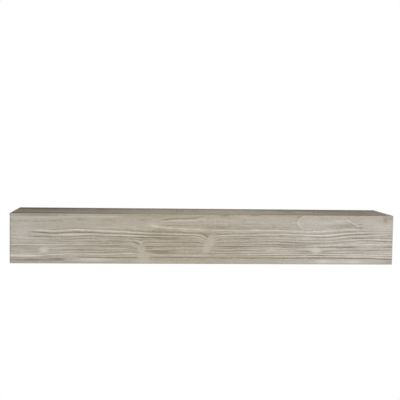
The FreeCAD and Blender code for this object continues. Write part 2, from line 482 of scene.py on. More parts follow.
# the top's tints also hold painted shade: the right end is darker, the middle warm and lighter
TOP_TINTS = (
    (0.05, (0.965, 0.965, 1.0, 1.0)),
    (0.55, (1.0, 0.955, 0.900, 1.0)),
    (1.00, (0.945, 0.905, 0.915, 1.0)),
)


def pine_in(tree, grain):
    """The bare pine group in a material, for grain along X, Y or Z."""
    x, y, z = object_place(tree)
    along, aside, up = {"X": (x, y, z), "Y": (y, x, z), "Z": (z, x, y)}[grain]
    return place_group(tree, bare_pine, Along=along, Aside=aside, Up=up)


def brushed_board_finish(name, grain, tints):
    """Bare pine and grey wash in one. The tints lie along the beam from left to right."""
    material, tree, shader = new_material(name)
    tint = colours(object_place(tree)[0] / length + 0.5, *tints)
    pine = pine_in(tree, grain)
    carried = {label: attribute(tree, label.lower()) for label in WASH_CARRIED}
    wash = place_group(tree, grey_wash, Tint=tint, **carried)
    brushed = attribute(tree, "brushed")
    colour = mix_colours(brushed, pine["Color"], wash["Color"])
    roughness = blend(brushed, BARE_ROUGHNESS, wash["Roughness"])
    coat(shader, colour, roughness, blend(brushed, pine["Height"], wash["Height"]), BRUSHED)
    return material


def bare_pine_finish(name, grain):
    material, tree, shader = new_material(name)
    pine = pine_in(tree, grain)
    roughness = PLANED_ROUGHNESS + pine["Height"] * PLANED_UNEVEN
    coat(shader, pine["Color"], roughness, pine["Height"], PLANED)
    return material


long_board_finish = brushed_board_finish("washed_pine_long", "X", WASH_TINTS)
top_board_finish = brushed_board_finish("washed_pine_top", "X", TOP_TINTS)
end_board_finish = brushed_board_finish("washed_pine_ends", "Y", WASH_TINTS)
strip_pine = bare_pine_finish("bare_pine_strips", "X")
rib_pine = bare_pine_finish("bare_pine_ribs", "Y")
block_pine = bare_pine_finish("bare_pine_blocks", "Z")
print("pine finishes:", [material.name for material in bpy.data.materials if "pine" in material.name])

# %% [markdown]
# ## Plywood, beech and zinc
# The two cleats are birch plywood, whose edges show thin veneers, every second one turned across. The
# biscuits in the mitres are pressed beech with short flecks. The screws are zinc-plated steel. Each is a
# solid texture in the frame, so it needs no unwrapping.

# %% Material: birch plywood
PLY_THICKNESS, VENEERS = 18.0, 13.0
VENEER = PLY_THICKNESS / VENEERS
VENEER_START = 0.6
GLUE_FULL, GLUE_GONE = 0.02, 0.12
GLUE_SHARE, GLUE_DEPTH = 0.8, 0.6
LONG_FIBRE = Speckle(30.0, 0.8, 1.0, 3.0, 1.0)
FIBRE_THROUGH = 0.8 / 0.7
CROSS_FIBRE = Speckle(0.6, 0.9, 2.0, 2.0, 1.0)
FIGURE_DRIFT = Speckle(210.0, 60.0, 4.0, 2.0, 55.0)
FIGURE_RISE = 27.5
FIGURE = Speckle(260.0, 4.5, 3.0, 3.0, 0.9)
CROSS_SHADE, PLY_FIBRE_SHADE, PLY_SHADE = 0.55, 0.7, 0.2
PLY_ROUGHNESS, PLY_UNEVEN = 0.65, 0.2
SANDED = Surface(0.12, 0.4, 0.35)
BIRCH_LONG = (0.74, 0.59, 0.40, 1.0)
BIRCH_CROSS = (0.50, 0.34, 0.19, 1.0)
BIRCH_GLUE = (0.24, 0.14, 0.07, 1.0)


def plywood_finish():
    material, tree, shader = new_material("birch_plywood")
    x, y, z = object_place(tree)
    veneers = (y - VENEER_START) / VENEER
    within = calculate(tree, "FRACT", veneers)
    crossed = calculate(tree, "FRACT", calculate(tree, "FLOOR", veneers) / 2.0) * 2.0
    glue = 1.0 - ramp(smaller(within, 1.0 - within), GLUE_FULL, GLUE_GONE)
    long_fibre = speckle(x, z + y * FIBRE_THROUGH, LONG_FIBRE)
    fibre = blend(crossed, long_fibre, speckle(x, z, CROSS_FIBRE))
    drift = z + speckle(x, z, FIGURE_DRIFT) + FIGURE_RISE
    shade = crossed * CROSS_SHADE + fibre * PLY_FIBRE_SHADE + speckle(x, drift, FIGURE) + PLY_SHADE
    wood = colours(shade, (0.0, BIRCH_LONG), (1.0, BIRCH_CROSS))
    glued = mix_colours(glue * GLUE_SHARE, wood, BIRCH_GLUE)
    coat(shader, glued, PLY_ROUGHNESS + fibre * PLY_UNEVEN, fibre - glue * GLUE_DEPTH, SANDED)
    return material


plywood = plywood_finish()
print("finish:", plywood.name, "with", len(plywood.node_tree.nodes), "nodes")

# %% Material: beech
FLECKS = Speckle(2.6, 0.5, 4.0, 1.0, 1.0)
FLECK_FROM, FLECK_TO = 0.05, 0.2
PRESSED = Speckle(1.4, 1.4, 5.0, 2.0, 1.0)
PRESSED_SHADE = 0.5
BEECH_ROUGHNESS, BEECH_UNEVEN = 0.66, 0.2
PUNCHED = Surface(0.1, 0.4, 0.5)
BEECH_PALE = (0.60, 0.41, 0.25, 1.0)
BEECH_FLECK = (0.42, 0.25, 0.13, 1.0)


def beech_finish():
    material, tree, shader = new_material("beech")
    x, y, z = object_place(tree)
    flecks = ramp(speckle(x + y + z, x - y, FLECKS), FLECK_FROM, FLECK_TO)
    pressed = speckle(x, y + z, PRESSED)
    wood = colours(flecks + pressed * PRESSED_SHADE, (0.0, BEECH_PALE), (1.0, BEECH_FLECK))
    coat(shader, wood, BEECH_ROUGHNESS + pressed * BEECH_UNEVEN, pressed, PUNCHED)
    return material


beech = beech_finish()
print("finish:", beech.name, "with", len(beech.node_tree.nodes), "nodes")

# %% Material: zinc-plated steel
BLOOM = Speckle(1.8, 1.8, 6.0, 3.0, 1.0)
BLOOM_THROUGH = 0.3
PLATING = Speckle(0.35, 0.35, 7.0, 2.0, 1.0)
ZINC_ROUGHNESS, ZINC_UNEVEN = 0.37, 0.22
PLATED = Surface(0.02, 0.3, 0.5)
ZINC_STOPS = ((0.3, (0.68, 0.69, 0.70, 1.0)), (0.75, (0.50, 0.50, 0.48, 1.0)))


def zinc_finish():
    material, tree, shader = new_material("zinc_steel")
    x, y, z = object_place(tree)
    bloom = speckle(x, z + y * BLOOM_THROUGH, BLOOM)
    metal = colours(bloom + 0.5, *ZINC_STOPS)
    coat(shader, metal, ZINC_ROUGHNESS + bloom * ZINC_UNEVEN, speckle(x, z + y, PLATING), PLATED)
    shader.inputs["Metallic"].default_value = 1.0
    return material


zinc = zinc_finish()
print("finish:", zinc.name, "with", len(zinc.node_tree.nodes), "nodes")

# %% [markdown]
# ## Growth lines of the front board
# The face is plain-sawn pine. Its growth lines run the length of the board, part in a long V left of the
# middle, and bend down round the knots. The lines that the eye follows are written here as heights above
# the lower edge at places along the board. Between two lines the grain follows both, so a number called
# flow can be worked out for every point: it stays the same along a growth line and changes across the grain.

# %% The lines and knots that the eye follows
Line = namedtuple("Line", "level route")
Knot = namedtuple("Knot", "along across half_along half_across lean dip dip_across reach_left reach_right")

GROWTH_LINES = (
    Line(20, ((0, 16), (80, 17), (128, 20), (348, 19), (586, 21), (680, 20), (1067, 20), (1219, 17))),
    Line(31, (
        (0, 25), (81, 24), (128, 28), (222, 31), (285, 29), (396, 33), (459, 27), (586, 28), (746, 31),
        (938, 33), (1219, 31),
    )),
    Line(49, (
        (0, 49), (128, 50), (285, 51), (459, 47), (523, 51), (682, 48), (746, 50), (874, 48), (1067, 47),
        (1219, 50),
    )),
    Line(62, (
        (0, 59), (222, 60), (459, 62), (586, 61), (810, 64), (938, 61), (1002, 62), (1067, 65), (1219, 65),
    )),
    Line(76, (
        (0, 74), (128, 72), (222, 76), (348, 76), (459, 74), (682, 75), (874, 77), (938, 74), (1002, 74),
        (1067, 79), (1131, 82), (1219, 79),
    )),
    Line(87, (
        (0, 92), (128, 90), (222, 92), (285, 92), (396, 89), (459, 87), (600, 86), (746, 85), (810, 84),
        (938, 84.5), (1002, 84), (1067, 90), (1131, 94), (1219, 94),
    )),
    Line(98, (
        (0, 106), (81, 106), (142, 103), (192, 107.5), (222, 107.5), (285, 105), (348, 102), (396, 99),
        (459, 97), (523, 95), (586, 93), (746, 93), (810, 96), (874, 96), (938, 93.5), (1002, 93.5),
        (1067, 99), (1131, 102), (1219, 104),
    )),
    Line(109, (
        (0, 116), (160, 117), (346, 119), (430, 122), (454, 119.5), (490, 115.5), (518, 113), (581, 110),
        (677, 107), (870, 108), (934, 105), (998, 107), (1064, 113), (1129, 113), (1219, 112),
    )),
    Line(132, (
        (0, 133), (128, 132), (220, 136), (344, 137), (406, 132), (430, 127), (454, 134), (475, 140.5),
        (489, 142.5), (518, 144.5), (555, 146), (575, 147.5), (602, 152.5), (695, 150), (876, 140),
        (997, 138), (1219, 140),
    )),
)

KNOTS = (
    Knot(106, 43, 15, 11, 0.0, 2.0, 43, 20, 20),
    Knot(411, 45, 12, 21, -0.1, 14.0, 52, 20, 6),
    Knot(419, 28, 24, 12, 0.0, 1.0, 28, 22, 22),
    Knot(625, 64, 17, 30, 0.42, 13.0, 79, 25, 24),
    Knot(820, 46, 16, 8, 0.0, 2.0, 46, 20, 20),
    Knot(968, 45, 20, 11, 0.0, 3.0, 45, 22, 22),
)
print(len(GROWTH_LINES), "growth lines and", len(KNOTS), "knots")

# %% [markdown]
# ## From lines to flow
# A Float Curve node holds one line. A point's share of the way from one line to the next gives its flow,
# and adding the shares up from the lower edge keeps flow continuous. A knot pulls the lines down: the
# point looks up its flow a little higher than it lies, most of all in the middle of the knot. What is used
# many times, such as a knot, becomes a node group with named inputs, which also keeps the trees small.

# %% A rule as a node group
def rule_group(name, outputs, rule):
    """Keeps a rule as a node group, whose inputs take the names of the rule's arguments, and returns a
    function that places the group in another tree."""
    arguments = [word.replace("_", " ").capitalize() for word in inspect.signature(rule).parameters]
    inputs = sockets("Float", *arguments)
    group, given, made = new_group(name, "GeometryNodeTree", inputs, sockets("Float", *outputs))
    for label, field in zip(outputs, rule(*given.values())):
        feed(group, made.inputs[label], field)

    def place(first, *others):
        node = first.tree.nodes.new("GeometryNodeGroup")
        node.node_tree = group
        for socket, value in zip(node.inputs, (first,) + others):
            feed(first.tree, socket, value)
        return [Field(first.tree, socket) for socket in node.outputs]

    return place


print("a rule's arguments become a group's inputs")

# %% Knots
KNOT_RAGS = Speckle(9.0, 6.0, 8.0, 3.0, 1.6)
KNOT_HEART, KNOT_RIM = 0.3, 1.5
RAGGED_RINGS = 0.25
FAR_FROM_KNOTS = 3.0
DIP_REACH = 1.7
LEAST_DIP_REACH = 3.0


def one_knot(
    along, across, ragged, middle, rise, half_along, half_across, lean, dip, dip_rise, left_reach, right_reach
):
    """How far one knot pulls the lines down, a mask that is 1 on it, and the place among its rings."""
    from_middle = along - middle
    aside = (from_middle - (across - rise) * lean) / half_along
    up = (across - rise) / half_across
    from_heart = aside * aside + up * up
    mask = 1.0 - ramp(from_heart + ragged, KNOT_HEART, KNOT_RIM)
    beside = bell(larger(from_middle / right_reach, from_middle / (left_reach * -1.0)))
    dip_reach = dip * DIP_REACH + LEAST_DIP_REACH
    below = ramp(across, dip_rise - dip_reach, dip_rise)
    above = 1.0 - ramp(across, dip_rise, dip_rise + dip_reach)
    ring = root(larger(from_heart + ragged * RAGGED_RINGS, 0.0))
    return beside * below * above * dip, mask, ring


place_knot = rule_group("Knot", ("Pull", "Mask", "Ring"), one_knot)


def knot_pull(along, across, knots):
    """The pull and the mask of all knots of a board, and the place among the rings of the nearest."""
    pull, mask, nearest = 0.0, 0.0, FAR_FROM_KNOTS
    ragged = speckle(along, across, KNOT_RAGS)
    for knot in knots:
        knot_dip, knot_mask, ring = place_knot(along, across, ragged, *knot)
        pull = knot_dip + pull
        mask = larger(knot_mask, mask)
        nearest = smaller(ring, nearest)
    return pull, mask, nearest


print("knot rule ready for the", len(KNOTS), "knots of the front")


# %% Flow over the front board
def clamp(field):
    node = field.tree.nodes.new("ShaderNodeClamp")
    feed(field.tree, node.inputs["Value"], field)
    return Field(field.tree, node.outputs[0])


def growth_line(along, route):
    """The height of a line above the lower edge, as a Float Curve of the place along the board."""
    node = along.tree.nodes.new("ShaderNodeFloatCurve")
    points = node.mapping.curves[0].points
    shares = [(place / length, rise / height) for place, rise in route]
    points[0].location = shares[0]
    points[1].location = shares[-1]
    for share in shares[1:-1]:
        points.new(*share)
    node.mapping.update()
    feed(along.tree, node.inputs["Value"], clamp(along / length))
    return Field(along.tree, node.outputs[0]) * height


def front_flow(along, across):
    """The flow at a point of the front, added up line by line from the lower edge."""
    flow, lower_rise, lower_level = 0.0, 0.0, 0.0
    top_line = Line(height, ((0, height), (length, height)))
    for line in GROWTH_LINES + (top_line,):
        rise = growth_line(along, line.route)
        share = clamp((across - lower_rise) / (rise - lower_rise))
        flow = share * (line.level - lower_level) + flow
        lower_rise, lower_level = rise, line.level
    return flow


print("flow rises over", len(GROWTH_LINES), "lines, from the lower edge to the top")

# %% [markdown]
# ## What the brush left on the front
# The strongest growth lines stand up as ridges, and the soft wood between them is worn to grooves. A ridge
# is written as its flow level, where it starts and ends along the board, its half width and its rise, and a
# groove is a ridge that goes down. Places where the wash lies paler or darker are written as soft oval
# patches, and so is painted shade: a dark line just under the top arris and one down the left edge. A
# healed branch left an oval rim near the top, and a hooked crease beside it.

# %% Ridges, grooves and patches of the front
Ridge = namedtuple("Ridge", "level start end half_width rise")
Patch = namedtuple("Patch", "along across half_along half_across shade calm")
BEYOND = 2000

FRONT_RIDGES = (
    Ridge(98, 70, 1175, 1.0, 1.4),
    Ridge(98, 90, 330, 1.1, 0.6),
    Ridge(98, 60, 190, 1.0, 0.7),
    Ridge(109, 440, 1110, 1.2, 1.1),
    Ridge(109, 440, 560, 1.2, 0.9),
    Ridge(87, 60, 1190, 0.95, 1.1),
    Ridge(76, 200, BEYOND, 0.95, 0.9),
    Ridge(66, 350, 900, 0.9, 0.6),
    Ridge(62, -BEYOND, 780, 0.9, 0.6),
    Ridge(62, 960, BEYOND, 1.0, 1.3),
    Ridge(80, 890, 1040, 0.8, -0.9),
    Ridge(49, 100, 1010, 0.9, 0.6),
    Ridge(38, 640, BEYOND, 0.9, 0.7),
    Ridge(31, 110, BEYOND, 1.0, 1.2),
    Ridge(31, -BEYOND, 85, 4.2, 1.4),
    Ridge(25, 800, BEYOND, 0.9, 0.8),
    Ridge(146, -BEYOND, 340, 2.6, 0.4),
    Ridge(127, 485, 585, 1.8, 0.4),
    Ridge(92, 95, 380, 0.9, -0.9),
    Ridge(92, 95, 140, 1.0, -0.5),
    Ridge(92, 380, 1175, 0.9, -1.2),
    Ridge(83.5, 60, 330, 0.7, -0.5),
    Ridge(83.5, 330, 890, 0.8, -0.9),
    Ridge(83.5, 1040, BEYOND, 0.8, -0.9),
    Ridge(79, 120, 560, 0.7, -0.6),
    Ridge(71.5, 130, BEYOND, 0.8, -0.7),
    Ridge(23, -BEYOND, 100, 1.0, -1.0),
    Ridge(14.5, -BEYOND, 190, 1.5, -1.0),
    Ridge(56, -BEYOND, 1100, 0.9, -0.8),
    Ridge(41, 150, 1110, 1.0, -0.5),
    Ridge(35, 550, 1080, 0.8, -0.6),
    Ridge(28, 780, 1000, 0.8, -0.7),
    Ridge(20, 215, BEYOND, 1.1, -1.7),
    Ridge(103, 520, 1050, 1.2, -0.35),
    Ridge(116, 475, 560, 1.0, -0.6),
    Ridge(132, 464, 600, 1.3, -1.0),
    Ridge(133, -BEYOND, 100, 1.4, -0.8),
)

FRONT_PATCHES = (
    # painted shade: a dark line down the left edge, where the arris turns away from the lamp
    Patch(0, 80, 3, 150, -1.3, 0.0),
    # painted shade: this row and the next darken the face just under the top arris
    Patch(610, 159, 800, 2, -0.7, 0.0),
    Patch(450, 155, 120, 8, -0.7, 0.0),
    Patch(30, 98, 34, 26, 0.7, 0.8),
    Patch(60, 10, 110, 4, -0.5, 0.0),
    Patch(40, 27, 50, 5, 0.4, 0.3),
    Patch(877, 66, 90, 9, -0.5, 0.0),
    Patch(60, 42, 50, 10, 0.3, 0.0),
    Patch(515, 58, 260, 36, -0.4, 0.0),
    Patch(470, 100, 100, 10, -0.45, 0.0),
    # painted shade: short dark marks just under the top arris
    Patch(672, 155, 18, 3, -1.2, 0.0),
    Patch(770, 157, 18, 2, -1.0, 0.0),
    Patch(83, 41, 4, 8, -0.6, 0.3),
    Patch(106, 43, 12, 8, 0.6, 0.0),
    # painted shade: the dark line under the top arris at the left end
    Patch(95, 153, 80, 5, -0.9, 0.0),
    Patch(143, 136, 26, 3, -0.6, 0.0),
    Patch(158, 12, 26, 4, -0.6, 0.0),
    Patch(219, 141, 20, 4, -0.5, 0.0),
    Patch(262, 13, 62, 5, 1.5, 0.4),
    Patch(315, 140, 14, 3, -0.5, 0.0),
    Patch(414, 140, 14, 3, -0.7, 0.0),
    Patch(416, 9, 28, 6, 0.7, 0.3),
    Patch(450, 124, 22, 6, 0.8, 0.5),
    Patch(470, 37, 26, 6, -0.6, 0.3),
    Patch(555, 70, 60, 20, -0.3, 0.0),
    Patch(665, 116, 95, 9, -0.55, 0.0),
    Patch(695, 60, 60, 22, -0.4, 0.0),
    Patch(737, 138, 7, 5, -0.6, 0.0),
    Patch(850, 114, 100, 7, -0.4, 0.0),
    Patch(913, 150, 8, 7, -0.6, 0.3),
    Patch(968, 45, 18, 8, 0.6, 0.0),
    Patch(1112, 129, 7, 2, -0.8, 0.0),
    Patch(1112, 119, 7, 2, -0.9, 0.0),
    Patch(943, 130, 10, 2, -0.5, 0.0),
    Patch(944, 135, 34, 20, 0.3, 0.9),
    Patch(990, 10, 22, 5, 1.0, 0.6),
    Patch(1060, 9, 120, 7, 0.8, 0.0),
    Patch(1090, 9, 18, 5, 0.6, 0.3),
    Patch(1002, 132, 22, 4, 0.6, 0.5),
    Patch(1045, 138, 30, 5, 0.7, 0.5),
    Patch(1047, 122, 38, 5, -0.35, 0.4),
    Patch(1075, 125, 12, 6, -0.5, 0.4),
    Patch(1138, 137, 40, 18, 0.4, 0.7),
    Patch(1160, 149, 60, 10, -0.4, 0.0),
    Patch(1184, 118, 40, 26, 0.5, 0.7),
    Patch(1192, 145, 7, 13, -0.9, 0.4),
    Patch(1212, 152, 18, 6, -0.4, 0.0),
    Patch(1205, 9, 15, 4, -0.8, 0.0),
)
print(len(FRONT_RIDGES), "ridges and", len(FRONT_PATCHES), "patches")

# %% [markdown]
# ## The relief of the front
# One rule gives each point of the front its flow, how proud it stands, its shade and its place among a
# knot's rings. Fine lines come first: even yearly lines and uneven scratches, from noise that is long along
# the grain and narrow across it. Then come the listed ridges, each stronger and weaker on its way, because
# no brush bites evenly. Knots and calm patches flatten the lines, and a limit keeps all of it within reach
# of the brush. A painted texture could show the same colours, but only real relief catches the light.

# %% Ridges and patches as rules
RIDGE_UNEVEN = Speckle(48.0, 1.0, 12.0, 3.0, 2.6)
RIDGE_APART = 0.73
RIDGE_FADE = 30.0


def between(along, start, end, fade):
    """1 from start to end along the board, fading at both."""
    return ramp(along, start - fade, start + fade) * (1.0 - ramp(along, end - fade, end + fade))


def one_ridge(along, flow, level, start, end, half_width, rise):
    """One ridge along its growth line, rising and sinking on the way."""
    uneven = larger(1.0 + speckle(along, level * RIDGE_APART, RIDGE_UNEVEN), 0.0)
    crest = bell((flow - level) / half_width)
    return [crest * uneven * rise * between(along, start, end, RIDGE_FADE)]


def one_patch(along, across, middle, rise, half_along, half_across, shade, calm):
    """The shade that one patch adds, and how much it calms the grain."""
    aside = (along - middle) / half_along
    up = (across - rise) / half_across
    weight = bell(root(aside * aside + up * up))
    return weight * shade, weight * calm


place_ridge = rule_group("Ridge", ("Height",), one_ridge)
place_patch = rule_group("Patch", ("Shade", "Calm"), one_patch)


def patches_over(along, across, patches):
    """The shade and the calm of all patches of a board."""
    shade, calm = 0.0, 0.0
    for patch in patches:
        patch_shade, patch_calm = place_patch(along, across, *patch)
        shade = patch_shade + shade
        calm = larger(patch_calm, calm)
    return shade, calm


print("groups:", [group.name for group in bpy.data.node_groups])

# %% Fine lines
LINE_PITCH = 7.4
LINE_PHASE = 0.1
LINE_DRIFT = Speckle(900.0, 40.0, 30.0, 2.0, 2.2)
LINE_STRENGTH = Speckle(48.0, LINE_PITCH, 50.0, 2.0, 1.0)
STRENGTH_EDGE = 0.2
SCRATCHES = Speckle(130.0, 2.6, 0.0, 1.0, 1.0)
SCRATCH_EDGE = 0.13


def fine_lines(along, flow, seed):
    """Fine brushed lines, below 0 in a groove and above it on a crest: yearly lines and scratches."""
    turn = flow / LINE_PITCH + speckle(along, flow, LINE_DRIFT, seed) + LINE_PHASE
    yearly = calculate(flow.tree, "SINE", turn * FULL_TURN)
    strength = ramp(speckle(along, flow, LINE_STRENGTH, seed), -STRENGTH_EDGE, STRENGTH_EDGE)
    scratches = ramp(speckle(along, flow, SCRATCHES, seed), -SCRATCH_EDGE, SCRATCH_EDGE)
    return yearly * strength + scratches - 0.5


print(f"yearly lines about {LINE_PITCH} mm apart, with scratches between them")

# %% The healed branch
Crease = namedtuple("Crease", "width crest groove groove_place")
OVAL = Patch(945, 135, 36, 23, 0.0, 0.0)
OVAL_RIM = Crease(2.0, 0.45, 0.35, 1.8)
HOOK = Crease(2.6, 0.55, 0.5, -1.6)
HOOK_ROUTE = (
    (0, 142), (1058, 142), (1074, 139), (1086, 133), (1097, 127), (1106, 124), (1115, 123.5), (1219, 124),
)
HOOK_START, HOOK_END, HOOK_FADE = 1066, 1116, 10.0
RIM_WOBBLE = Speckle(18.0, 12.0, 14.0, 2.0, 0.4)
RIM_FADES = (-0.3, 0.8)
RIM_LEFT_OVER = 0.15


def creased(from_crease, crease):
    """A crest with a groove beside it, from the distance to the crease in its own widths."""
    groove = bell(from_crease - crease.groove_place) * crease.groove
    return bell(from_crease) * crease.crest - groove


def healed_branch(along, across):
    """The rim of the oval, clearest on its left, and the hooked crease."""
    aside = (along - OVAL.along) / OVAL.half_along
    up = (across - OVAL.across) / OVAL.half_across
    from_oval = root(aside * aside + up * up) - 1.0 + speckle(along, across, RIM_WOBBLE)
    rim = creased(from_oval * OVAL.half_across / OVAL_RIM.width, OVAL_RIM)
    clear = blend(ramp(aside, *RIM_FADES), 1.0, RIM_LEFT_OVER)
    hook = creased((across - growth_line(along, HOOK_ROUTE)) / HOOK.width, HOOK)
    return rim * clear + hook * between(along, HOOK_START, HOOK_END, HOOK_FADE)


print("oval", 2 * OVAL.half_along, "mm long, hook", HOOK_END - HOOK_START, "mm long")

# %% The whole front
FRONT_SEED = 1.0
LINE_WOBBLE = Speckle(38.0, 14.0, 25.0, 2.0, 2.8)
BAND_STARTS, BAND_ENDS = (20.0, 34.0), (96.0, 110.0)
CALM_LINES, BAND_LINES = 0.16, 0.42
BITE, DEEPER_RIGHT = 0.84, 0.4
RIGHT_PART = (850.0, 1000.0)
KNOT_CALM, KNOT_SHADE = 0.85, 0.55
MOST_PROUD = 1.1


def whole_front(along, across):
    """Flow, proudness, shade and the place among a knot's rings over the front."""
    pull, knots, ring = knot_pull(along, across, KNOTS)
    flow = front_flow(along, across + pull + speckle(along, across, LINE_WOBBLE))
    shade, calm = patches_over(along, across, FRONT_PATCHES)
    band = ramp(flow, *BAND_STARTS) * (1.0 - ramp(flow, *BAND_ENDS))
    proud = fine_lines(along, flow, FRONT_SEED) * (CALM_LINES + band * BAND_LINES)
    for ridge in FRONT_RIDGES:
        proud = proud + place_ridge(along, flow, *ridge)[0]
    bite = BITE + ramp(along, *RIGHT_PART) * DEEPER_RIGHT
    proud = proud * bite * (1.0 - calm) * (1.0 - knots * KNOT_CALM) + healed_branch(along, across)
    proud = smaller(larger(proud, -MOST_PROUD), MOST_PROUD)
    return flow, proud, shade + knots * KNOT_SHADE, ring


front_grain = rule_group("Front grain", ("Flow", "Proud", "Shade", "Knot"), whole_front)
print("rules:", [group.name for group in bpy.data.node_groups if group.bl_idname == "GeometryNodeTree"])

# %% [markdown]
# ## Grain of the other boards
# The top and the bottom are flat-sawn too, but nothing singles out their lines. A log is a stack of cones,
# so a board cut from it meets the rings at a slant, and the distance from a wandering pith gives the nested
# arches that such boards show. The end boards are the same plank folded round the corner, so they go on
# from the front's lines where it ends, and let them drift.

# %% Grain rules for the top, the bottom and the ends
TOP_KNOTS = (
    Knot(250, 150, 15, 11, 0.0, 7.0, 150, 22, 22),
    Knot(705, 62, 18, 13, 0.0, 8.0, 62, 26, 26),
    Knot(1010, 172, 12, 9, 0.0, 5.0, 172, 18, 18),
)
BOTTOM_KNOTS = (
    Knot(380, 90, 17, 13, 0.0, 8.0, 90, 25, 25),
    Knot(860, 140, 14, 10, 0.0, 6.0, 140, 20, 20),
)
# painted light and shadow on the top: a dark line along the front arris, a shadowed left end and right part
# with a lighter middle between them, and a dark band along the back
TOP_PATCHES = (
    Patch(610, 0, 800, 16, -1.2, 0.0),
    Patch(610, 200, 800, 40, -1.1, 0.0),
    Patch(60, 110, 160, 200, -0.6, 0.0),
    Patch(60, 8, 170, 22, -1.6, 0.0),
    Patch(60, 190, 170, 40, -0.9, 0.0),
    Patch(440, 110, 70, 200, 0.5, 0.0),
    Patch(690, 110, 190, 200, 1.1, 0.0),
    Patch(1080, 110, 180, 200, -0.25, 0.0),
)
BOTTOM_PATCHES = (
    Patch(330, 100, 120, 50, -0.5, 0.0),
    Patch(900, 120, 160, 60, 0.5, 0.0),
)
PITH_WANDER = Speckle(700.0, 1.0, 0.0, 2.0, 110.0)
PITH_ROW = 0.5
CUT_HEIGHT, CUT_SLOPE = 32.0, 0.07
CUT_WANDER = Speckle(420.0, 1.0, 0.0, 2.0, 24.0)
CUT_ROW = 3.5
SWAY = Speckle(150.0, 70.0, 60.0, 2.0, 8.0)
STRONG_YEARS = Speckle(600.0, 9.0, 20.0, 2.0, 1.0)
STRONG_FROM, STRONG_TO = 0.0, 0.16
WEAK_LINES, STRONG_LINES = 0.3, 0.55
FLAT_CLOUDS = Speckle(210.0, 46.0, 40.0, 2.0, 1.2)
FLAT_KNOT_SHADE = 0.5
CORNER_KEPT = 60.0
END_DRIFT = Speckle(95.0, 60.0, 0.0, 2.0, 16.0)


def flat_sawn_grain(seed, knots, patches, wash_shade):
    """A rule for a flat-sawn board. The seed picks its figure, and wash_shade darkens its wash all over; on
    the top that is painted shade.
    """

    def grain(along, across):
        pull, knot_mask, ring = knot_pull(along, across, knots)
        pith = depth / 2.0 + speckle(along, PITH_ROW, PITH_WANDER, seed)
        over_pith = CUT_HEIGHT + along * CUT_SLOPE + speckle(along, CUT_ROW, CUT_WANDER, seed)
        aside = across + pull - pith + speckle(along, across, SWAY, seed)
        flow = root(aside * aside + over_pith * over_pith)
        strong = ramp(speckle(along, flow, STRONG_YEARS, seed), STRONG_FROM, STRONG_TO)
        proud = fine_lines(along, flow, seed) * (WEAK_LINES + strong * STRONG_LINES)
        shade = speckle(along, across, FLAT_CLOUDS, seed) + patches_over(along, across, patches)[0]
        shade = shade + knot_mask * FLAT_KNOT_SHADE + wash_shade
        return flow, proud * (1.0 - knot_mask * KNOT_CALM), shade, ring

    return grain


def end_grain(start, direction, seed):
    """A rule for an end board: the front's grain from its own end onwards, drifting away from the corner."""

    def grain(along, across):
        drift = speckle(along, across, END_DRIFT, seed) * ramp(along, 0.0, CORNER_KEPT)
        return front_grain(start + along * direction, across + drift)

    return grain


print(len(TOP_KNOTS), "knots on the top and", len(BOTTOM_KNOTS), "below")

# %% [markdown]
# ## One board as a Geometry Nodes tree
# All five boards are the same kind of thing: a finely divided face with eased edges, walls that slope in
# at the mitres, and a flat inside. The tree starts from a grid one unit apart, so that a point's position
# is its row and column, and turns that into a place on the board, closer together near the edges, where
# the arris needs it, and round the knots, where the lines bend. The arris is sanded by hand, so its radius
# wanders. The two boards that share an edge share a seed, and so the same wandering, and their mitres meet.

# %% Rows and columns
EDGE_ZONE = 4.0
EDGE_STEPS = 6.0
STRONG_DIP = 4.0
GATHER = 0.55
GATHER_REACH = 45.0
Spacing = namedtuple("Spacing", "inset fine high")


def spaced(index, count, size):
    """How far a row or column lies from its nearer edge, its share of the fine zone, and which edge."""
    half = (count - 1.0) / 2.0
    from_edge = half - size_of(index)
    fine = smaller(from_edge, EDGE_STEPS) / EDGE_STEPS
    coarse_step = (size / 2.0 - EDGE_ZONE) / (half - EDGE_STEPS)
    inset = fine * EDGE_ZONE + larger(from_edge - EDGE_STEPS, 0.0) * coarse_step
    return Spacing(inset, fine, calculate(index.tree, "GREATER_THAN", index, 0.0))


def place_from(inset, size, high):
    """A place on the board from the distance to its nearer edge."""
    return blend(high, inset, size - inset)


def gathered(along, knots):
    """Draws the columns together round the knots that bend the lines most."""
    moved = along
    for knot in knots:
        if knot.dip > STRONG_DIP:
            aside = along - knot.along
            moved = moved - aside * bell(aside / GATHER_REACH) * GATHER
    return moved


print(f"{EDGE_STEPS:.0f} fine steps in the outer {EDGE_ZONE} mm")

# %% Eased edges
FACE_DEPTH = 0.42
RELIEF_FROM = 0.8
ARRIS = 1.3
ARRIS_WANDER = Speckle(46.0, 1.0, 0.0, 3.0, 0.7)
ARRIS_ROW = 0.5
CORNER_ZONE = (5.0, 45.0)
MITRE_START = 1.0 - math.sqrt(0.5)
BOARD_EDGES = ("Low end", "High end", "Low side", "High side")
EDGE_SEEDS = tuple(edge + " seed" for edge in BOARD_EDGES)
seed_of = dict(zip(BOARD_EDGES, EDGE_SEEDS))


